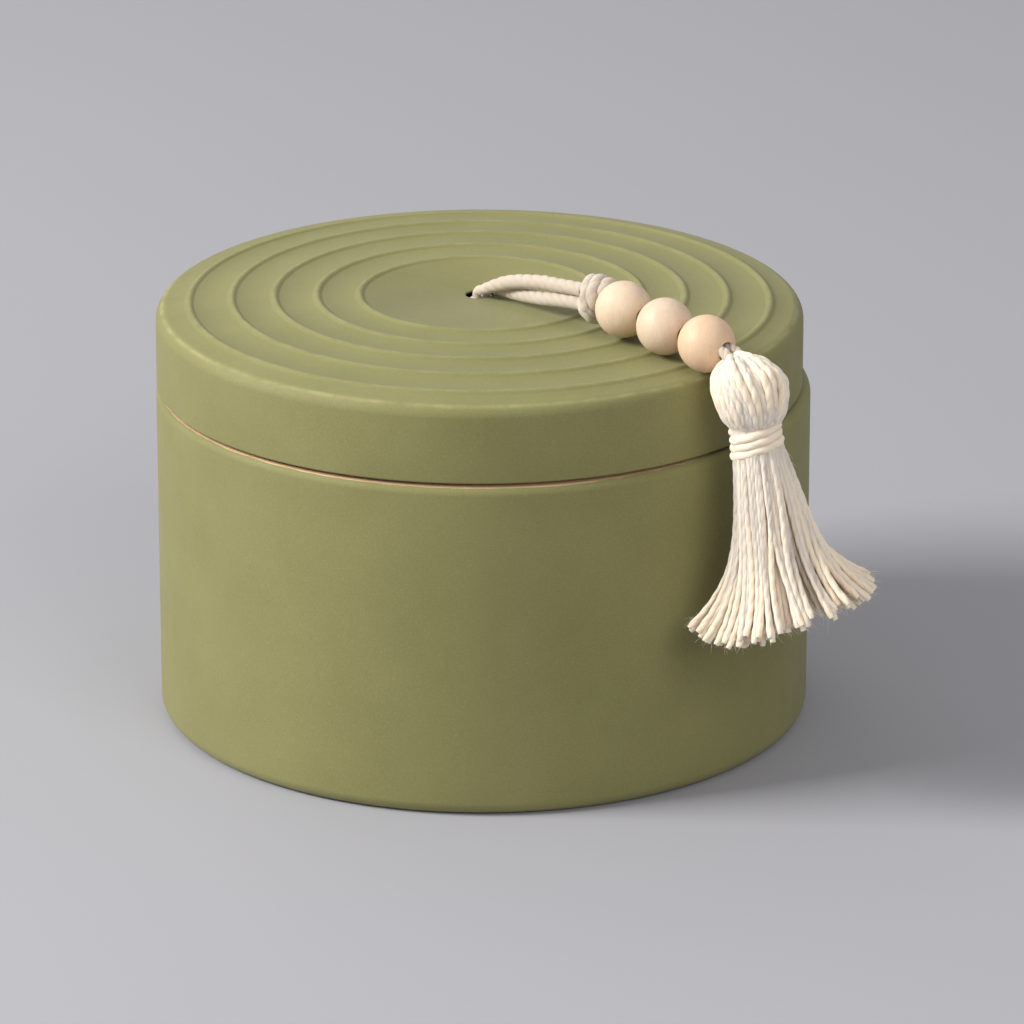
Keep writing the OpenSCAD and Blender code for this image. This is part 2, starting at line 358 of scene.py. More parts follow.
@dataclass(frozen=True)
class StickerFoam(Finish):
    """White closed-cell foam."""

    name: str = "sticker_foam"
    white: Rgb = (0.84, 0.84, 0.81)
    shaded: Rgb = (0.68, 0.68, 0.64)

    def wire(self, graph: Graph) -> None:
        """Joins up the cells."""
        cells = graph.node("ShaderNodeTexVoronoi", {"Vector": graph.place(), "Scale": 3200.0}).outputs[0]
        graph.dress(Base_Color=graph.blend(cells, self.shaded, self.white), Roughness=0.9,
                    Normal=graph.bump(cells, 0.0001, 0.6))


@dataclass(frozen=True)
class FloorPaper(Finish):
    """Pale seamless paper."""

    name: str = "floor_paper"
    pale: Rgb = (0.37, 0.37, 0.40)
    shaded: Rgb = (0.35, 0.35, 0.38)

    def wire(self, graph: Graph) -> None:
        """Joins up faint clouds."""
        cloud = graph.noise(graph.place(), 3.0, 2.0)
        graph.dress(Base_Color=graph.blend(cloud, self.shaded, self.pale), Roughness=0.85,
                    Specular_IOR_Level=0.2)


# --------------------------------------------------------------- shape making


def arc(cx: float, cz: float, radius: float, start: float, end: float, count: int) -> Outline:
    """Points on an arc of an outline about a centre, between two angles in degrees."""
    angles = np.radians(np.linspace(start, end, count))
    return [(cx + radius * math.cos(a), cz + radius * math.sin(a)) for a in angles]


def lathe(shape: BMesh, outline: Outline, steps: int, finish: int = 0) -> None:
    """Spins an outline in millimetres a full turn about the upright axis, into a shape in metres.

    Args:
        shape: The shape that it is added to.
        outline: Distance from the axis and height of each point.
        steps: Steps in a full turn.
        finish: Number of the finish on these faces.
    """
    earlier = set(shape.faces)
    verts = [shape.verts.new((radius * MM, 0.0, height * MM)) for radius, height in outline]
    edges = [shape.edges.new(pair) for pair in zip(verts, verts[1:])]
    bmesh.ops.spin(shape, geom=verts + edges, cent=(0, 0, 0), axis=(0, 0, 1), angle=math.tau,
                   steps=steps, use_merge=True, use_duplicate=False)
    for face in shape.faces:
        if face not in earlier:
            face.material_index = finish


def carry(mesh: Mesh, name: str, values: Array) -> None:
    """Gives a mesh a number or a place at each point.

    Args:
        mesh: The mesh.
        name: The attribute's name.
        values: One number a point, or three.
    """
    kind, key = ("FLOAT", "value") if values.ndim == 1 else ("FLOAT_VECTOR", "vector")
    made = mesh.attributes.new(name, kind, "POINT")
    made.data.foreach_set(key, values.astype(np.float32).ravel())


def mesh_of(shape: BMesh, name: str) -> Mesh:
    """Makes a shape a mesh, and uses the shape up."""
    mesh = bpy.data.meshes.new(name)
    shape.to_mesh(mesh)
    shape.free()
    return mesh


def linked(name: str, data: bpy.types.ID) -> Object:
    """Puts a mesh, a camera or a lamp into the scene."""
    holder = bpy.data.objects.new(name, data)
    bpy.context.scene.collection.objects.link(holder)
    return holder


def points_of(mesh: Mesh) -> Array:
    """The mesh's points, one a row."""
    flat = np.empty(len(mesh.vertices) * 3, np.float32)
    mesh.vertices.foreach_get("co", flat)
    return flat.reshape(-1, 3).astype(float)


def as_piece(
    mesh: Mesh, finishes: Sequence[Material], body: str,
    stands_for: Sequence[str] = (), sharp: float = 38.0,
) -> Object:
    """Puts a mesh into the scene as a piece that rides on a body.

    Args:
        mesh: The mesh, in its place.
        finishes: Its materials, in the order of its faces' numbers.
        body: The body that it rides on, or an empty text where it rides on none.
        stands_for: The frame's nodes that it replaces.
        sharp: Edges sharper than this many degrees stay crisp.

    Returns:
        The piece.
    """
    piece = linked(mesh.name, mesh)
    for finish in finishes:
        mesh.materials.append(finish)
    mesh.shade_smooth()
    mesh.set_sharp_from_angle(angle=math.radians(sharp))
    if stands_for:
        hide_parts(*stands_for)
    if body:
        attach(piece, body)
    log.info("%s: %d faces", piece.name, len(mesh.polygons))
    return piece


def settled(shape: BMesh, name: str) -> Mesh:
    """Closes the seams of a shape, turns its faces outwards and makes it a mesh."""
    bmesh.ops.remove_doubles(shape, verts=shape.verts, dist=1e-7)
    bmesh.ops.recalc_face_normals(shape, faces=shape.faces)
    return mesh_of(shape, name)


# --------------------------------------------------------------- laid cordage


@dataclass(frozen=True)
class Setting:
    """A local frame: its origin and its three axes, one a row, in the row frame."""

    origin: Array
    axes: Array

    def place(self, points: Sequence[Sequence[float]] | Array) -> Array:
        """Moves points given in millimetres in this setting to metres in the row frame."""
        return self.origin + np.asarray(points, float) @ self.axes * MM


def even_route(points: Array, count: int) -> Array:
    """Evenly spaced points, as many as the count, on a smooth curve through the given ones."""
    ends = np.vstack([2 * points[0] - points[1], points, 2 * points[-1] - points[-2]])
    t = np.linspace(0.0, 1.0, 20, endpoint=False)[:, None]
    dense = [
        0.5 * (2 * b + (c - a) * t + (2 * a - 5 * b + 4 * c - d) * t**2 + (3 * b - a - 3 * c + d) * t**3)
        for a, b, c, d in zip(ends, ends[1:], ends[2:], ends[3:])
    ]
    line = np.vstack([*dense, points[-1:]])
    run = np.concatenate([[0.0], np.cumsum(np.linalg.norm(np.diff(line, axis=0), axis=1))])
    even = np.linspace(0.0, run[-1], count)
    return np.stack([np.interp(even, run, line[:, k]) for k in range(3)], axis=1)


def length_of(route: Array) -> float:
    """Length of a route, in metres."""
    return float(np.linalg.norm(np.diff(route, axis=0), axis=1).sum())


def sizes_along(rings: int, shares: Sequence[float], sizes: Sequence[float]) -> Array:
    """Scale of a yarn's section at each ring, from its scale at a few shares of the length."""
    return np.interp(np.linspace(0, 1, rings), shares, sizes)


@dataclass(frozen=True)
class Yarn:
    """A laid yarn: equal round plies around a common middle. Sizes in millimetres."""

    plies: int
    offset: float
    ply_radius: float
    lay: float
    grade: Grade
    step: float = 0.3

    def reach(self, angle: float) -> float:
        """How far the section reaches at an angle from its first ply."""
        part = math.tau / self.plies
        off = (angle + part / 2) % part - part / 2
        across = self.ply_radius**2 - (self.offset * math.sin(off)) ** 2
        return self.offset * math.cos(off) + math.sqrt(max(across, 0.0))

    def straight(self, rings: int) -> Mesh:
        """A straight, untwisted length with closed ends, one unit from ring to ring."""
        shape = bmesh.new()
        sides = self.grade.value
        verts = bmesh.ops.create_circle(shape, cap_ends=False, segments=sides, radius=1.0)["verts"]
        for vert in verts:
            vert.co *= self.reach(math.atan2(vert.co.y, vert.co.x)) * MM
        bmesh.ops.spin(shape, geom=shape.verts[:] + shape.edges[:], cent=(0, 0, 0), axis=(0, 0, 1),
                       dvec=(0, 0, 1), angle=0.0, steps=rings - 1, use_merge=False,
                       use_duplicate=False)
        rims = [edge for edge in shape.edges if len(edge.link_faces) == 1]
        bmesh.ops.holes_fill(shape, edges=rims, sides=0)
        bmesh.ops.recalc_face_normals(shape, faces=shape.faces)
        return mesh_of(shape, "yarn_length")

    def rings_for(self, length: float) -> int:
        """How many rings a length in metres takes."""
        return max(4, round(length / (self.step * MM)) + 1)

    def laid(
        self, name: str, routes: Array, draw: Draw, swell: Array | None = None, fray: float = 0.0,
    ) -> Mesh:
        """Lays yarns along routes, all as one mesh.

        Args:
            name: The mesh's name.
            routes: Evenly spaced points of each yarn's middle line: yarns, rings, 3.
            draw: Source of the random turns and tones.
            swell: Scale of the section at each ring.
            fray: How unevenly each yarn's thickness varies.

        Returns:
            The mesh.
        """
        count, rings = routes.shape[:2]
        single = self.straight(rings)
        joined = bmesh.new()
        for _ in range(count):
            joined.from_mesh(single)
        mesh = mesh_of(joined, name)
        bpy.data.meshes.remove(single)

        local = points_of(mesh).reshape(count, -1, 3)
        ring = np.rint(local[0, :, 2]).astype(int)
        ahead = np.gradient(routes, axis=1)
        ahead /= np.linalg.norm(ahead, axis=2, keepdims=True)
        across = np.empty_like(ahead)
        lean = np.where(np.abs(ahead[:, 0, 2:3]) > 0.8, [[1.0, 0.0, 0.0]], [[0.0, 0.0, 1.0]])
        for k in range(rings):
            lean = lean - (lean * ahead[:, k]).sum(1, keepdims=True) * ahead[:, k]
            lean = lean / np.linalg.norm(lean, axis=1, keepdims=True)
            across[:, k] = lean
        over = np.cross(ahead, across)
        steps = np.linalg.norm(np.diff(routes, axis=1), axis=2)
        run = np.concatenate([np.zeros((count, 1)), np.cumsum(steps, axis=1)], axis=1)
        phase = draw.uniform(0.0, math.tau, (count, 1))
        turn = run * math.tau / (self.lay * MM) + phase
        scale = np.broadcast_to(1.0 if swell is None else swell, (count, rings))
        wander = np.cumsum(draw.normal(0.0, 1.0, (count, rings)), axis=1)
        wander -= np.linspace(0, 1, rings) * wander[:, -1:]
        scale = scale * (1.0 + fray * np.tanh(wander / math.sqrt(rings)))
        cos, sin = (f(turn)[:, ring] * scale[:, ring] for f in (np.cos, np.sin))
        x, y = local[:, :, 0], local[:, :, 1]
        spread = (x * cos - y * sin)[..., None] * across[:, ring] \
            + (x * sin + y * cos)[..., None] * over[:, ring]
        mesh.vertices.foreach_set("co", (routes[:, ring] + spread).astype(np.float32).ravel())

        drift = draw.uniform(0.0, 1.0, (count, 1, 3)) * 0.5
        lie = np.stack([x, y, run[:, ring]], axis=2) + drift
        carry(mesh, "fibre", lie.reshape(-1, 3))
        widest = (self.offset + self.ply_radius) * MM
        carry(mesh, "crest", (np.hypot(x, y) / widest).ravel())
        carry(mesh, "tone", np.repeat(draw.uniform(0.0, 1.0, count), local.shape[1]))
        return mesh


def fuzz_routes(
    routes: Array, draw: Draw, radius: float, each: int, reach: float,
    start: float = 0.0, end: float = 1.0,
) -> Array:
    """Short curved routes of loose fibres that leave the surface of laid yarns.

    Args:
        routes: The yarns' middle lines: yarns, rings, 3.
        draw: Source of the random places.
        radius: Distance of the fibres' roots from a middle line, in millimetres.
        each: Fibres on each yarn.
        reach: How far a fibre stands away, in millimetres.
        start: Share of the yarn's length where fibres start.
        end: Share of it where they end.

    Returns:
        The fibres' middle lines: fibres, rings, 3.
    """
    count, rings = routes.shape[:2]
    total = count * each
    which = np.repeat(np.arange(count), each)
    at = (draw.uniform(start, end, total) * (rings - 2)).astype(int)
    root, ahead = routes[which, at], routes[which, at + 1] - routes[which, at]
    ahead /= np.linalg.norm(ahead, axis=1, keepdims=True)
    away = draw.normal(0.0, 1.0, (total, 3))
    away -= (away * ahead).sum(1, keepdims=True) * ahead
    away /= np.linalg.norm(away, axis=1, keepdims=True)
    side = np.cross(ahead, away)
    long = draw.uniform(0.5, 1.6, (total, 1)) * reach * MM
    bend, skew = draw.uniform(-0.3, 1.4, (total, 1)), draw.uniform(-0.7, 0.7, (total, 1))
    out = []
    for t in np.linspace(0.0, 1.0, 5):
        out.append(root + away * (radius * MM * 0.8 + long * 0.6 * t) + ahead * long * bend * t**1.6
                   + side * long * skew * t**2)
    return np.stack(out, axis=1)


@dataclass
class Cordage:
    """What the cord's and the tassel's pieces share. Each kind has its own slot and fibre."""

    finish: Material
    draw: Draw

    def lay(
        self, yarn: Yarn, name: str, routes: Sequence[Array] | Array, body: str,
        stands_for: Sequence[str] = (), swell: Array | None = None, fray: float = 0.0,
    ) -> Object:
        """Lays yarns along routes as a piece that rides on a body.

        Args:
            yarn: The yarn.
            name: The piece's name.
            routes: The middle lines.
            body: The body, or an empty text where the piece rides on none.
            stands_for: The frame's nodes that it replaces.
            swell: Scale of the section at each ring.
            fray: How unevenly each yarn's thickness varies.

        Returns:
            The piece.
        """
        mesh = yarn.laid(name, np.array(routes), self.draw, swell, fray)
        return as_piece(mesh, [self.finish], body, stands_for)

    def lay_fuzz(self, name: str, hairs: Array, body: str) -> Object:
        """Lays loose fibres along their middle lines, each thinner towards its end."""
        return self.lay(self.fibre, name, hairs, body, swell=np.linspace(1, 0.3, 5))


# -------------------------------------------------------------- sub-assemblies


@dataclass
class Shell:
    """What the tin and the lid share: paint outside and lacquer inside."""

    paint: Material
    lacquer: Material

    def spun(
        self, name: str, outside: Outline, inside: Outline, steps: int, shift: float = 0.0,
    ) -> tuple[Mesh, Array, Array]:
        """Spins both faces of the sheet into one shell.

        Args:
            name: The mesh's name.
            outside: Outline of its outside.
            inside: Outline of its inside.
            steps: Steps in a full turn.
            shift: How far its axis stands to the right, in millimetres.

        Returns:
            The mesh, and each point's distance from its axis and height, in millimetres.
        """
        shape = bmesh.new()
        lathe(shape, outside, steps, 0)
        lathe(shape, inside, steps, 1)
        bmesh.ops.translate(shape, verts=shape.verts, vec=(shift * MM, 0, 0))
        mesh = settled(shape, name)
        spots = points_of(mesh)
        return mesh, np.hypot(spots[:, 0] - shift * MM, spots[:, 1]) / MM, spots[:, 2] / MM


@dataclass
class TinBody(Shell):
    """The drawn can: foot, wall, shoulder and necked rim. Sizes in millimetres."""

    radius: float = 70.0
    shoulder_z: float = 72.6
    sheet: float = 0.5
    corner: float = 3.0
    shoulder: float = 2.0
    neck: float = 67.0
    rim_z: float = 89.1
    curl: float = 1.0
    base_lift: float = 1.5
    foot: float = 61.0
    steps: int = 256

    def outside(self) -> Outline:
        """Outline from the middle of the base, round the foot and up to the top of the curl."""
        return [
            (0.0, self.base_lift), (30.0, self.base_lift), (self.foot - 2.4, self.base_lift),
            *arc(self.foot - 2.4, self.base_lift - 0.8, 0.8, 90, 45, 4),
            *arc(self.foot + 0.3, 0.8, 0.8, 225, 270, 4),
            *arc(self.radius - self.corner, self.corner, self.corner, -90, 0, 12),
            *[(self.radius, z) for z in np.linspace(8.0, 66.0, 8)],
            *arc(self.radius - self.shoulder, self.shoulder_z - self.shoulder, self.shoulder, 0, 90, 14),
            *arc(self.neck + 0.5, self.shoulder_z + 0.5, 0.5, 270, 180, 5),
            (self.neck, self.rim_z - 4.0), (self.neck, self.rim_z - self.curl - 0.6),
            *arc(self.neck - self.curl + 0.05, self.rim_z - self.curl, self.curl, -10, 90, 8),
        ]

    def inside(self) -> Outline:
        """Outline from the top of the curl, down the neck and the wall to the middle of the floor."""
        wall = self.radius - self.sheet
        turn = self.shoulder - self.sheet
        return [
            *arc(self.neck - self.curl + 0.05, self.rim_z - self.curl, self.curl, 90, 250, 10),
            (self.neck - self.sheet, self.rim_z - self.curl - 1.3),
            (self.neck - self.sheet, self.shoulder_z + 0.2),
            (self.neck + 0.2, self.shoulder_z - self.sheet),
            *arc(self.radius - self.shoulder, self.shoulder_z - self.shoulder, turn, 88, 0, 8),
            (wall, 40.0),
            *arc(self.radius - self.corner, self.corner, self.corner - self.sheet, 0, -90, 8),
            (self.foot + 0.3, self.sheet), (self.foot - 1.4, self.base_lift + self.sheet),
            (0.0, self.base_lift + self.sheet),
        ]

    def build(self) -> Object:
        """Makes the can's shell."""
        mesh, away, high = self.spun("can_drawn_shell", self.outside(), self.inside(), self.steps)
        edge = np.exp(-(((high - 0.9) / 0.6) ** 2)) * (away > self.radius - self.corner)
        carry(mesh, "edge", edge * 0.4)
        return as_piece(mesh, [self.paint, self.lacquer], "tin", ["can_body"])


@dataclass
class PressedLid(Shell):
    """The slip lid: crowned top with pressed rings, rounded corner, skirt and hem. Millimetres."""

    shift: float = -0.8
    radius: float = 69.1
    bottom: float = 73.1
    top: float = 91.8
    sheet: float = 0.5
    corner: float = 3.0
    hem: float = 0.9
    flat_radius: float = 38.0
    crown_radius: float = 230.0
    ring: float = 25.6
    pitch: float = 9.1
    rings: int = 5
    ring_height: float = 0.52
    ring_half: float = 1.15
    hole: float = 3.0
    arc_top: float = 80.0
    steps: int = 288

    def crown(self, away: float) -> float:
        """Height of the top, without its rings, at a distance from its middle."""
        return self.top - max(0.0, away - self.flat_radius) ** 2 / (2 * self.crown_radius)

    def face(self) -> Outline:
        """Outline of the top from the hole to the last ring."""
        points = [(self.hole + 0.25, self.top)]
        for k in range(self.rings):
            middle = self.ring + k * self.pitch
            for share in np.linspace(-1.0, 1.0, 15):
                lift = (0.5 + 0.5 * math.cos(math.pi * share)) ** 0.6
                away = middle + share * self.ring_half
                points.append((away, self.crown(away) + lift * self.ring_height))
        return points

    def build(self) -> Object:
        """Makes the lid."""
        away = self.radius - self.corner
        rise = math.radians(self.arc_top)
        level = self.crown(away + self.corner * math.cos(rise)) - self.corner * math.sin(rise)
        face = self.face()
        mouth = [(self.hole, self.top - self.sheet + 0.1), (self.hole, self.top - 0.2),
                 (self.hole + 0.08, self.top - 0.06)]
        outside = [
            *mouth, *face, *arc(away, level, self.corner, self.arc_top, 0, 16),
            (self.radius, 84.0), (self.radius, 79.0), (self.radius, self.bottom + 0.45),
            *arc(self.radius - self.hem / 2, self.bottom + 0.45, self.hem / 2, 0, -90, 7),
        ]
        inside = [
            *arc(self.radius - self.hem / 2, self.bottom + 0.45, self.hem / 2, -90, -180, 7),
            (self.radius - self.hem, self.bottom + 1.6), (self.radius - self.sheet, self.bottom + 1.9),
            *arc(away, level, self.corner - self.sheet, 0, self.arc_top, 10),
            *[(r, z - self.sheet) for r, z in reversed(face)], mouth[0],
        ]
        mesh, far, high = self.spun("lid_pressing", outside, inside, self.steps, self.shift)
        # Painted highlight: pale bands on the ring crests and along the top corner, carried as edge and
        # broken up by the paint's rubbed wear.
        nearest = np.abs((far - self.ring + self.pitch / 2) % self.pitch - self.pitch / 2)
        crest = np.exp(-((nearest / 0.5) ** 2)) * (far > self.ring - 2) * (far < 64)
        shoulder = np.exp(-(((far - away - 1.7) / 0.4) ** 2)) * (high > level)
        carry(mesh, "edge", np.clip(0.5 * crest + shoulder, 0.0, 1.0))
        return as_piece(mesh, [self.paint, self.lacquer], "lid", ["lid_shell"])


@dataclass
class CandleFill:
    """The wax with its wicks, tabs and stickers. Sizes in millimetres."""

    wax_z: float = 58.0
    radius: float = 69.45
    corner: float = 3.0
    foot: float = 61.0
    floor: float = 2.0
    steps: int = 160
    wick: Yarn = Yarn(3, 0.55, 0.72, 4.2, Grade.CORD, 0.3)

    def wick_names(self) -> list[str]:
        """The frame's wicks."""
        return [f"wick_{k}" for k in range(1, 5)]

    def pour(self, finish: Material) -> Object:
        """Makes the wax, drawn up a little at the wall and at each wick."""
        surface = [(r, self.wax_z) for r in (self.radius, 69.2, 68.8, 68.2, 67.3, *np.linspace(66, 0, 45))]
        body = [(0.0, self.floor), (self.foot - 1.2, self.floor), (self.foot + 0.3, 0.55),
                *arc(67.0, self.corner, 2.45, -90, 0, 8), (self.radius, self.wax_z)]
        shape = bmesh.new()
        lathe(shape, body, self.steps)
        lathe(shape, surface, self.steps)
        mesh = settled(shape, "wax_pour")
        spots = points_of(mesh)
        lows, highs = zip(*(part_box(name) for name in self.wick_names()))
        upper = spots[:, 2] > (self.wax_z - 0.01) * MM
        away = np.hypot(spots[:, 0], spots[:, 1]) / MM
        lift = 0.9 * np.exp(-(self.radius - away) / 1.1)
        for low, high in zip(lows, highs):
            middle = (low + high) / 2
            near = np.hypot(spots[:, 0] - middle.x, spots[:, 1] - middle.y) / MM
            lift += 0.7 * np.exp(-near / 1.8) - 0.25 * np.exp(-(((near - 7) / 4) ** 2))
        wave = np.array([noise.noise(Vector((x * 22, y * 22, 0.3))) for x, y, _ in spots])
        spots[:, 2] += np.where(upper, (lift + 0.12 * wave) * MM, 0.0)
        mesh.vertices.foreach_set("co", spots.astype(np.float32).ravel())
        return as_piece(mesh, [finish], "tin", ["wax"], sharp=60.0)

    def light_wicks(self, finish: Material, draw: Draw) -> None:
        """Makes the wicks, each with a small bend at its tip."""
        for name in self.wick_names():
            low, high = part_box(name)
            x, y = (low.x + high.x) / 2, (low.y + high.y) / 2
            way = draw.uniform(0.0, math.tau)
            heights = np.linspace(low.z, high.z, 9)
            bend = np.clip((heights - high.z + 0.006) / 0.006, 0.0, 1.0) ** 2 * 0.0009
            stem = np.stack([x + bend * math.cos(way), y + bend * math.sin(way), heights], axis=1)
            route = even_route(stem, self.wick.rings_for(high.z - low.z))
            mesh = self.wick.laid(f"{name}_braid", route[None], draw)
            as_piece(mesh, [finish], "tin", [name])

    def dress_tabs(self, steel: Material, foam: Material) -> None:
        """Gives the frame's tabs and stickers their finishes."""
        for k in range(1, 5):
            for name, finish in ((f"wick_tab_{k}", steel), (f"wick_sticker_{k}", foam)):
                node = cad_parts[name]
                node.data.materials.clear()
                node.data.materials.append(finish)


@dataclass
class DoubledCord(Cordage):
    """The cord folded in two: strands, knots, its run through the beads, and the bight. Millimetres."""

    slot: str = "cord_cotton"
    angle: float = -46.0
    lid_top: float = 91.8
    lid_shift: float = -0.8
    diameter: float = 3.0
    slope: float = 4.3
    core_start: float = -18.6
    core_end: float = 16.3
    mouth: tuple = (-0.4, 0.0, 0.3)
    clear: tuple = (17.0, 0.0, 5.0)
    hair_root: float = 1.35
    core_lay: float = 18.0
    core_apart: float = 0.88
    eye_along: float = 73.95
    eye_up: float = 4.36
    tassel_lean: float = 9.0
    cord: Yarn = Yarn(3, 0.27, 1.27, 7.5, Grade.CORD, 0.25)
    squeezed: Yarn = Yarn(3, 0.24, 0.66, 5.0, Grade.CORD, 0.25)
    bent: Yarn = Yarn(3, 0.34, 0.86, 4.6, Grade.CORD, 0.25)
    fibre: Yarn = Yarn(1, 0.0, 0.035, 50.0, Grade.FIBRE, 0.3)
    upper: tuple = (
        (0.4, -1.2, -1.7), (0.45, -1.2, -0.8), (0.6, -1.3, 0.4), (0.9, -1.3, 1.2), (3, -1.4, 2.1),
        (5, -1.3, 3.1), (7.6, -1.1, 4.2), (11, -0.7, 5.4), (15.5, -0.3, 6.4), (20, 0, 7.1),
        (24.5, 0, 7.5), (28.5, 0, 7.9), (31.5, 0, 8.1))
    lower: tuple = (
        (0.6, 1.2, -1.7), (0.6, 1.2, -0.8), (0.6, 1.35, 0.4), (0.9, 1.45, 1.1), (2.3, 1.6, 1.8),
        (5, 1.5, 2), (8.5, 1.2, 2.2), (12, 0.8, 2.5), (16, 0.4, 3), (20, 0, 3.6), (24.5, 0, 4.3),
        (28.5, 0, 4.8), (31.5, 0, 5.1))
    first_wrap: tuple = (
        (-24.4, 0, 0.6), (-22.9, 0.3, 1.3), (-21.9, 0.4, 3.1), (-21.3, -0.9, 3.6), (-21.0, -2.1, 2.0),
        (-20.6, -2.4, 0.0), (-20.0, -2.0, -2.2), (-19.2, -0.4, -3.6), (-18.7, 1.7, -2.8),
        (-18.3, 2.7, -0.2), (-18.0, 2.4, 2.6), (-18.0, 0.7, 3.6), (-17.9, -0.9, 2.4),
        (-17.4, -0.7, 0.9), (-16.2, -0.3, 0.4))
    last_wrap: tuple = (
        (-24.2, 0, -2.4), (-22.4, -1.2, -2.0), (-20.9, -2.3, -2.3), (-19.7, -1.5, -3.6),
        (-19.0, 0.7, -3.8), (-18.9, 2.6, -1.6), (-19.5, 2.9, 1.1), (-19.9, 1.6, 3.3),
        (-19.8, -0.3, 4.0), (-19.4, -2.1, 2.3), (-18.8, -2.3, 0.2), (-17.7, -1.2, -0.9),
        (-16.2, -0.2, -0.5))

    def on_lid(self) -> Setting:
        """The cord's own setting: along it, sideways, and up from the lid's flat."""
        turn = math.radians(self.angle)
        along, side = (math.cos(turn), math.sin(turn), 0.0), (-math.sin(turn), math.cos(turn), 0.0)
        origin = np.array([self.lid_shift, 0.0, self.lid_top]) * MM
        return Setting(origin, np.array([along, side, (0.0, 0.0, 1.0)]))

    def on_string(self) -> Setting:
        """The string's setting: ahead along the beads, sideways, and over, from the middle bead."""
        low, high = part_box("bead_2")
        dip = math.radians(self.slope)
        flat = self.on_lid().axes
        ahead = flat[0] * math.cos(dip) - flat[2] * math.sin(dip)
        over = flat[0] * math.sin(dip) + flat[2] * math.cos(dip)
        return Setting(np.array((low + high) / 2), np.array([ahead, flat[1], over]))

    def hanging(self) -> Setting:
        """The tassel's setting: outwards, sideways and down, from the bulb's middle."""
        lid, tip = self.on_lid(), math.radians(self.tassel_lean)
        along, side, up = lid.axes
        out = along * math.cos(tip) + up * math.sin(tip)
        down = along * math.sin(tip) - up * math.cos(tip)
        middle = lid.place([(self.eye_along + 6.3, 0.0, self.eye_up - 5.7)])[0]
        return Setting(middle, np.array([out, side, down]))

    def strands(self) -> None:
        lid = self.on_lid()
        mouth, clear = lid.place([self.mouth, self.clear])
        for side, points in (("upper", self.upper), ("lower", self.lower)):
            through = lid.place(points)
            route = even_route(through, self.cord.rings_for(length_of(through)))
            swell = sizes_along(len(route), [0, 0.06, 0.16, 0.34, 1], [0.62, 0.64, 0.80, 1.02, 1.02])
            name = f"cord_strand_{side}"
            piece = self.lay(self.cord, name, [route], "", [f"strand_{side}"], swell, 0.05)
            hairs = fuzz_routes(route[None], self.draw, self.hair_root, each=150, reach=0.8, start=0.12)
            for made in (piece, self.lay_fuzz(f"{name}_fuzz", hairs, "")):
                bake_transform(made)

    def throat(self) -> None:
        """Lays the two strands in the lid's hole."""
        lid = self.on_lid()
        heights = np.linspace(-6.0, -0.5, 5)
        routes = [even_route(lid.place([(along, side, h) for h in heights]), 24)
                  for along, side in ((0.4, -1.2), (0.6, 1.2))]
        self.lay(self.cord, "cord_in_hole", routes, "cord_anchor", ["cord_throat"])

    def stopper(self) -> None:
        """Ties the stopper under the lid: an overhand knot with two short tails."""
        lid = self.on_lid()
        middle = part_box("stopper_knot")[1].z / MM - 5.0 - self.lid_top
        t = np.linspace(0.0, math.tau, 40)
        loop = np.stack([0.5 * np.sin(t) + 1.35 * np.sin(2 * t), 1.6 * np.sin(3 * t),
                         middle + 0.5 * np.cos(t) - 1.35 * np.cos(2 * t)], axis=1) * [1.25, 1, 1]
        loop = lid.place(loop)
        route = even_route(loop, self.cord.rings_for(length_of(loop)))
        self.lay(self.cord, "stopper_knot_cord", [route], "cord_anchor", ["stopper_knot"])
        tails = [even_route(lid.place([(0, side, middle - 2), (0.3, side * 1.5, middle - 5),
                                       (-0.2, side * 2.2, middle - 9.4)]), 32) for side in (-1.1, 1.1)]
        swell = np.concatenate([np.ones(26), np.linspace(1, 1.15, 6)])
        self.lay(self.cord, "stopper_tails", tails, "cord_anchor", swell=swell)

    def knot(self) -> None:
        """Ties the knot beside the first bead: the doubled cord wrapped round itself."""
        string, rings = self.on_string(), 130
        routes = np.array([even_route(string.place(w), rings) for w in (self.first_wrap, self.last_wrap)])
        swell = sizes_along(rings, [0, 0.88, 1], [1.0, 0.95, 0.55])
        self.lay(self.cord, "upper_knot_wraps", routes, "string", ["upper_knot"], swell, 0.05)
        hairs = fuzz_routes(routes, self.draw, self.hair_root, each=70, reach=0.8)
        self.lay_fuzz("upper_knot_fuzz", hairs, "string")

    def core(self) -> None:
        """Lays the doubled cord through the beads, its strands round each other."""
        string = self.on_string()
        along = np.linspace(self.core_start, self.core_end, 60)
        routes = []
        for half in (0.0, math.pi):
            wind = along / self.core_lay * math.tau + half
            points = np.stack([along, self.core_apart * np.cos(wind), self.core_apart * np.sin(wind)], axis=1)
            routes.append(even_route(string.place(points), 150))
        self.lay(self.squeezed, "bead_core_strands", routes, "string", ["bead_core"])

    def eye(self) -> None:
        """Makes the bight that holds the tassel's folded yarns."""
        lid, rings = self.on_lid(), 90
        x, z = self.eye_along, self.eye_up
        bight = [(x - 4.0, -1.0, z + 0.3), (x - 2.2, -1.1, z + 0.3), (x - 0.2, -1.35, z + 0.3),
                 (x + 1.6, -1.4, z - 0.8), (x + 3.0, -1.2, z - 2.6), (x + 3.7, 0.0, z - 3.8),
                 (x + 3.0, 1.2, z - 2.6), (x + 1.6, 1.4, z - 0.8), (x - 0.2, 1.35, z + 0.3),
                 (x - 2.2, 1.1, z + 0.3), (x - 4.0, 1.0, z + 0.3)]
        swell = sizes_along(rings, [0, 0.22, 0.38, 0.62, 0.78, 1], [1, 1, 1.35, 1.35, 1, 1])
        route = even_route(lid.place(bight), rings)
        piece = self.lay(self.bent, "tassel_eye_bight", [route], "", ["tassel_eye"], swell)
        start, end = lid.place([(x - 1.4, 0.0, z + 0.1), (x + 1.4, 0.0, z - 0.4)])
        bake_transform(piece)


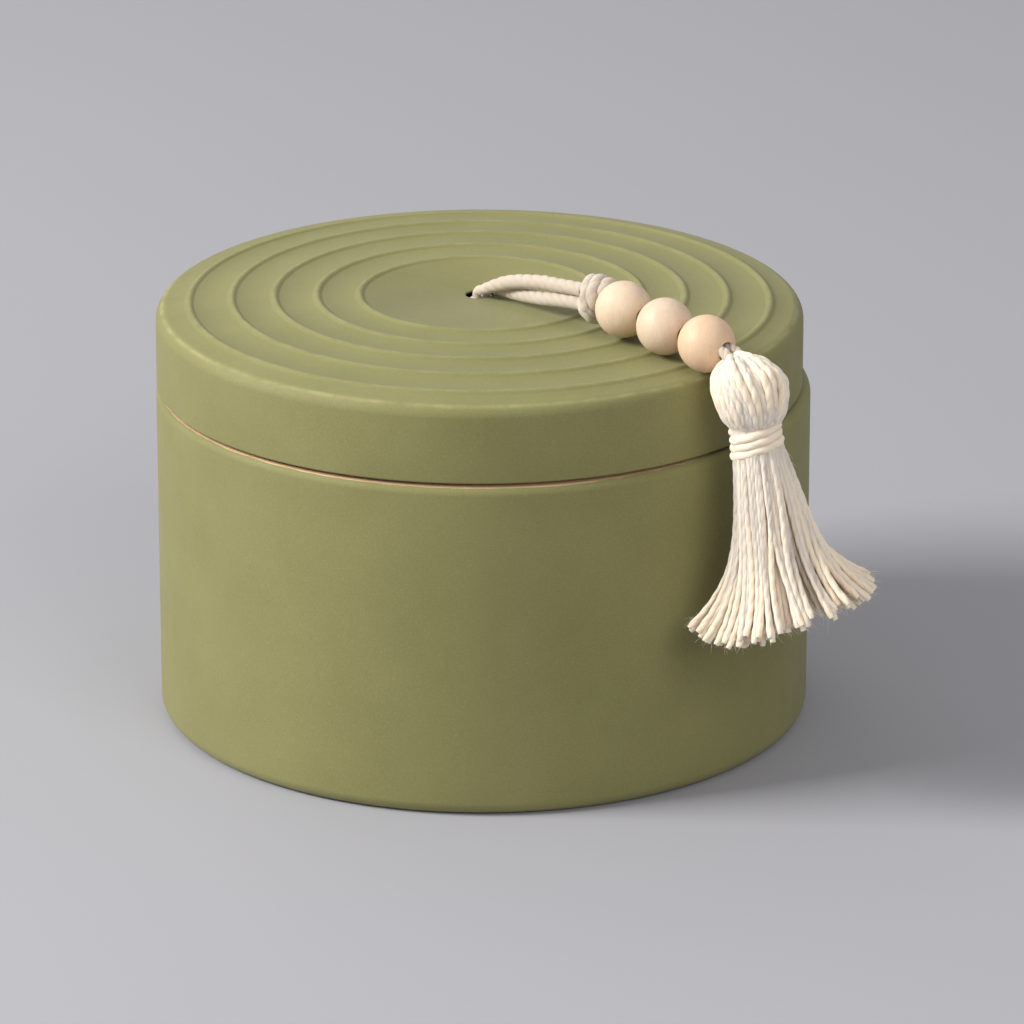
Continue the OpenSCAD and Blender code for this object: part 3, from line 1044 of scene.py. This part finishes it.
@dataclass
class TurnedBeads:
    """Three turned beads with eased bores, on the string. Sizes in millimetres."""

    string: Setting
    radius: float = 6.0
    bore: float = 1.9
    ease: float = 0.16
    steps: int = 96

    def outline(self) -> Outline:
        """Closed outline of a bead, round its ball and back through its bore."""
        half = math.degrees(math.asin((self.bore + self.ease) / self.radius))
        ball = [(r, z) for z, r in arc(0, 0, self.radius, 180 - half, half, 46)]
        end = self.radius * math.cos(math.radians(half))
        lower = [(self.bore, -end + self.ease * 1.6), (self.bore + 0.06, -end + self.ease * 0.8),
                 (self.bore + 0.15, -end + self.ease * 0.25)]
        upper = [(r, -z) for r, z in reversed(lower)]
        return [*lower, *ball, *upper, lower[0]]

    def build(self, woods: Sequence[Material]) -> None:
        """Turns a bead from each wood."""
        for k, wood in enumerate(woods, start=1):
            low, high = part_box(f"bead_{k}")
            shape = bmesh.new()
            lathe(shape, self.outline(), self.steps)
            ahead, side, over = (Vector(axis) for axis in self.string.axes)
            turn = Matrix((side, over, ahead)).transposed().to_4x4()
            bmesh.ops.transform(shape, matrix=Matrix.Translation((low + high) / 2) @ turn,
                                verts=shape.verts)
            as_piece(settled(shape, f"bead_{k}_turned"), [wood], f"bead_{k}",
                     [f"bead_{k}"], sharp=50.0)


@dataclass
class Tassel(Cordage):
    """The tassel: bulb of folded yarns, binding and skirt. Sizes in millimetres.

    Directions round the tassel are in degrees from its right-hand side, seen from the front.
    Each row of ends is such a direction, the distance that the cut ends have reached from the
    tassel's middle line there, their depth below the bulb's middle, and how evenly they spread.
    """

    hung: Setting
    tin_axis: Array
    slot: str = "tassel_yarn"
    head_radius: float = 7.8
    head_yarns: int = 44
    head_side: tuple = (0.69, 0.724, 0.0)
    head_top: tuple = (-0.257, 0.252, -0.93)
    tie_from: float = 7.1
    tie_radius: float = 5.7
    tie_turns: float = 3.3
    tie_depth: tuple = (1.2, 5.5)
    skirt_from: float = 4.6
    locks: int = 17
    wall_clear: float = 72.2
    facing: float = 44.2
    right: tuple = (0.690, 0.724)
    front: tuple = (0.715, -0.699)
    ends: tuple = (
        (-40, 28.0, 46.6, 0.40), (-10, 22.0, 47.0, 0.46), (20, 19.5, 46.8, 0.52),
        (50, 15.0, 47.5, 0.60), (90, 14.0, 49.5, 0.50), (120, 14.0, 51.0, 0.35),
        (150, 16.0, 51.8, 0.25), (172, 20.0, 49.5, 0.18), (200, 15.0, 50.0, 0.20),
        (240, 11.0, 51.0, 0.30), (290, 13.5, 50.0, 0.50), (320, 28.0, 46.6, 0.40))
    yarn: Yarn = Yarn(2, 0.11, 0.56, 6.5, Grade.YARN, 0.62)
    head_yarn: Yarn = Yarn(2, 0.15, 0.80, 6.0, Grade.YARN, 0.35)
    inner_yarn: Yarn = Yarn(2, 0.13, 0.62, 9.0, Grade.INNER, 0.8)
    tie_yarn: Yarn = Yarn(2, 0.14, 0.92, 7.5, Grade.CORD, 0.3)
    fibre: Yarn = Yarn(1, 0.0, 0.04, 50.0, Grade.FIBRE, 0.3)

    def folded(self, way: float, radius: float) -> Array:
        """Points on one yarn from the bight, round the bulb and down into the binding.

        Args:
            way: Its direction round the tassel, in radians.
            radius: How far it lies from the bulb's middle.

        Returns:
            The points, one a row.
        """
        draw = self.draw
        crown = np.array([-5.3, 0.0, -6.6])
        crown /= np.linalg.norm(crown)
        ring = np.array([math.cos(way), math.sin(way), 0.0])
        foot = np.array([4.3 * ring[0], 4.3 * ring[1], self.tie_from + 1.5])
        t = np.linspace(0.0, 1.0, 16)[:, None]
        path = (1 - t) ** 2 * crown + 3.2 * t * (1 - t) * ring + t**2 * foot / np.linalg.norm(foot)
        path /= np.linalg.norm(path, axis=1, keepdims=True)
        push = radius + draw.normal(0.0, 0.2) + 0.3 * np.sin(t * 5 + draw.uniform(0, 6))
        push = push * (1 - t**4) + (np.linalg.norm(foot) - 0.2) * t**4
        side, lift = (path @ np.array([[c] for c in axis]) for axis in (self.head_side, self.head_top))
        slump = np.clip(lift * 2 - 0.2, 0, 1) * np.clip(side * 2.9 + 0.87, 0, 1)
        push = push * (1.0 - 0.17 * slump)
        turned = np.array([-ring[1], ring[0], 0.0])
        wave = 0.6 * np.sin(t * draw.uniform(2, 5) + draw.uniform(0, 6)) * np.sin(math.pi * t)
        end = [4.3 * ring[0], 4.3 * ring[1], self.tie_from + 5]
        return np.vstack([path * push + turned * wave, [end]])

    def head(self) -> None:
        """Folds two layers of yarns over the bight and down round the bulb to the binding."""
        rings = self.head_yarn.rings_for(0.024)
        for name, sunk, stands in (("tassel_head_yarns", 0.95, ["tassel_head"]),
                                   ("tassel_head_inner", 1.75, [])):
            routes = []
            for k in range(self.head_yarns):
                way = math.tau * (k + self.draw.uniform(-0.3, 0.3)) / self.head_yarns
                points = self.folded(way, self.head_radius - sunk)
                routes.append(even_route(self.hung.place(points), rings))
            swell = sizes_along(rings, [0, 0.2, 1], [0.62, 1.0, 0.9])
            self.lay(self.head_yarn, name, routes, "tassel", stands, swell, 0.08)

    def tie(self) -> None:
        """Winds the binding, three turns that lean a little, with sunken ends."""
        t = np.linspace(0.0, 1.0, 110)
        wind = math.radians(self.facing - 150) - t * self.tie_turns * math.tau
        start, run = self.tie_depth
        depth = self.tie_from + start + t * run + 0.9 * np.cos(wind - math.radians(self.facing + 165))
        reach = self.tie_radius - 1.0 + 0.12 * np.sin(wind * 2.3) - 1.4 * (t < 0.03) - 1.4 * (t > 0.97)
        points = np.stack([reach * np.cos(wind), reach * np.sin(wind), depth], axis=1)
        route = even_route(self.hung.place(points), self.tie_yarn.rings_for(0.105))
        self.lay(self.tie_yarn, "tassel_binding_yarn", [route], "tassel", ["tassel_binding"], fray=0.05)

    def round_hem(self, share: Array) -> Array:
        """Directions, in degrees, that share out the hem's length evenly.

        Args:
            share: Shares of the way round, from 0 to 1.

        Returns:
            The directions.
        """
        table = np.array(self.ends)
        around = np.linspace(0.0, 360.0, 361)
        reach = np.interp(around, table[:, 0], table[:, 1], period=360) ** 0.8
        total = np.concatenate([[0.0], np.cumsum(reach[:-1])])
        return np.interp(share % 1.0, total / total[-1], around)

    def fallen(self, way: Array, fill: Array, rings: int) -> Array:
        """Routes of skirt yarns from the binding to their cut ends, clear of the tin's wall.

        Args:
            way: Direction of each yarn round the tassel, in degrees.
            fill: How far out each yarn lies, from 0 to 1.
            rings: Points on each route.

        Returns:
            The routes: yarns, rings, 3.
        """
        draw = self.draw
        table = np.array(self.ends)
        locks = np.sort(draw.uniform(-14, 14, self.locks) + np.arange(self.locks) * 360 / self.locks)
        nearest = locks[np.argmin(np.abs((way[:, None] - locks + 180) % 360 - 180), axis=1)]
        pull = 0.4 * ((nearest - way + 180) % 360 - 180)
        right, front = np.array(self.right), np.array(self.front)
        start = self.tie_from + self.skirt_from
        t = np.linspace(0.0, 1.0, 13)
        routes = []
        for k in range(len(way)):
            gather = way[k] + pull[k] * np.clip(t * 1.6 - 0.3, 0, 1)
            reach, depth, even = (
                np.interp(way[k] + pull[k], table[:, 0], table[:, c], period=360) for c in (1, 2, 3))
            depth = depth + (1 - fill[k]) * 2.5 + draw.normal(0.0, 0.7)
            first = (self.tie_radius - 1.1) * fill[k] ** 0.7
            spread = even * t + (1 - even) * t**4
            away = first + (fill[k] * (reach - 0.8) - first) * spread
            away = away + 0.9 * fill[k] * np.sin(math.pi * np.clip(t * 1.6, 0, 1)) * even
            away += draw.normal(0, 0.25) * np.sin(math.pi * t)
            turn = np.radians(gather + draw.normal(0.0, 2.5) * np.sin(t * draw.uniform(3, 7)))
            flat = away[:, None] * (np.cos(turn)[:, None] * right + np.sin(turn)[:, None] * front)
            points = self.hung.place(np.column_stack([flat, start + (depth - start) * t]))
            routes.append(even_route(points, rings))
        routes = np.array(routes)
        off = routes[..., :2] - self.tin_axis
        far = np.linalg.norm(off, axis=2, keepdims=True)
        routes[..., :2] = self.tin_axis + off * (np.maximum(far, self.wall_clear * MM) / far)
        return routes

    def skirt(self) -> None:
        """Hangs the skirt in three layers, with frayed ends and loose fibres."""
        layers = (("outer", ((76, 1.0),), self.yarn, ["tassel_skirt"]),
                  ("middle", ((66, 0.84),), self.yarn, []),
                  ("inner", ((44, 0.62), (24, 0.34)), self.inner_yarn, []))
        for layer, rows, yarn, stands in layers:
            name = f"tassel_skirt_{layer}"
            way = np.concatenate([self.round_hem((np.arange(n) + self.draw.uniform(-0.4, 0.4, n)) / n)
                                  for n, _ in rows])
            fill = np.concatenate([np.full(n, q) - self.draw.uniform(0, 0.1, n) for n, q in rows])
            rings = yarn.rings_for(0.040)
            routes = self.fallen(way, fill, rings)
            swell = sizes_along(rings, [0, 0.85, 0.97, 1.0], [0.95, 1.0, 1.12, 0.9])
            self.lay(yarn, name, routes, "tassel", stands, swell, 0.15)
            tips = fuzz_routes(routes, self.draw, 0.5, each=12, reach=1.8, start=0.95)
            hairs = fuzz_routes(routes, self.draw, 0.6, each=5, reach=0.9, start=0.1, end=0.95)
            self.lay_fuzz(f"{name}_fibres", np.concatenate([tips, hairs]), "tassel")


# ---------------------------------------------------------------------- studio


@dataclass
class Studio:
    """Camera, floor and soft light. Each lamp: name, place, width, power in watts and tint."""

    camera_at: Rgb = (0.0, -1.4133, 0.5477)
    aim: Rgb = (0.0061, -0.0008, 0.0427)
    lens: float = 244.7
    floor_reach: float = 6.0
    lit: Rgb = (0.0, 0.0, 0.05)
    air: tuple = (0.86, 0.85, 0.86, 1.0)
    air_strength: float = 0.53
    lamps: tuple = (("key", (-1.5, -0.30, 1.08), 0.7, 46.0, (1.0, 0.985, 0.95)),
                    ("back", (-0.7, 1.3, 1.5), 0.9, 3.5, (1.0, 0.98, 0.95)),
                    ("fill", (0.9, -1.6, 1.2), 1.2, 14.0, (1.0, 0.98, 0.96)))

    def facing(self, name: str, data: bpy.types.ID, at: Rgb, target: Rgb) -> Object:
        """Puts a camera or a lamp in its place and turns it to a target.

        Args:
            name: Its name.
            data: The camera or the lamp.
            at: Its place, in metres.
            target: What it faces.

        Returns:
            Its object.
        """
        holder = linked(name, data)
        holder.location = at
        holder.rotation_euler = (Vector(target) - Vector(at)).to_track_quat("-Z", "Y").to_euler()
        return holder

    def camera(self) -> None:
        """Sets the camera."""
        data = bpy.data.cameras.new("camera")
        data.lens, data.sensor_width, data.clip_end = self.lens, 36.0, 100.0
        bpy.context.scene.camera = self.facing("camera", data, self.camera_at, self.aim)

    def floor(self, finish: Material) -> None:
        """Lays the floor."""
        shape = bmesh.new()
        bmesh.ops.create_grid(shape, x_segments=2, y_segments=2, size=self.floor_reach)
        mesh = mesh_of(shape, "floor")
        mesh.materials.append(finish)
        linked("floor", mesh)

    def light(self) -> None:
        """Lights the studio."""
        world = bpy.data.worlds.new("studio")
        world.use_nodes = True
        back = world.node_tree.nodes["Background"]
        back.inputs["Color"].default_value = self.air
        back.inputs["Strength"].default_value = self.air_strength
        bpy.context.scene.world = world
        bpy.context.scene.view_settings.view_transform = "Standard"
        for name, at, size, power, tint in self.lamps:
            data = bpy.data.lights.new(name, "AREA")
            data.size, data.energy, data.color = size, power, tint
            self.facing(name, data, at, self.lit)


def main() -> None:
    """Builds the scene: camera and cords first, then the tin, the candle and the tassel."""
    logging.basicConfig(level=logging.INFO, format="%(name)s: %(message)s")
    draw = np.random.default_rng(46)
    studio = Studio()
    studio.camera()

    # Each cotton's deep colour is painted shade between its plies.
    cord_cotton = Cotton("cord_cotton", pale=(0.55, 0.485, 0.42), deep=(0.41, 0.32, 0.235)).build()
    yarn_cotton = Cotton("tassel_yarn", pale=(0.90, 0.775, 0.64), deep=(0.74, 0.45, 0.20)).build()
    wick_cotton = Cotton("wick_cotton", pale=(0.88, 0.86, 0.80), deep=(0.66, 0.62, 0.54)).build()
    cord = DoubledCord(cord_cotton, draw)
    cord.strands()
    cord.throat()
    cord.stopper()
    cord.knot()
    cord.core()

    lacquer = GoldLacquer().build()
    TinBody(OlivePaint("olive_paint_tin", bare_from=0.07223).build(), lacquer).build()
    PressedLid(OlivePaint("olive_paint_lid").build(), lacquer).build()

    candle = CandleFill()
    candle.pour(SoyWax().build())
    candle.light_wicks(wick_cotton, draw)
    candle.dress_tabs(TabSteel().build(), StickerFoam().build())

    looks = (((0.72, 0.57, 0.42), (0.62, 0.46, 0.31), (0.5, 0.3, 0.2)),
             ((0.70, 0.55, 0.41), (0.60, 0.44, 0.30), (1.2, 0.2, 0.7)),
             ((0.72, 0.52, 0.35), (0.62, 0.42, 0.27), (0.2, 1.0, 0.4)))
    TurnedBeads(cord.on_string()).build([
        BeadWood(f"bead_wood_{k}", tuple(sum(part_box(f"bead_{k}"), Vector()) / 2), *look).build()
        for k, look in enumerate(looks, start=1)])

    cord.eye()
    tassel = Tassel(yarn_cotton, draw, cord.hanging(), cord.on_lid().origin[:2])
    tassel.head()
    tassel.tie()
    tassel.skirt()

    studio.floor(FloorPaper().build())
    studio.light()


if __name__ == "__main__":
    main()
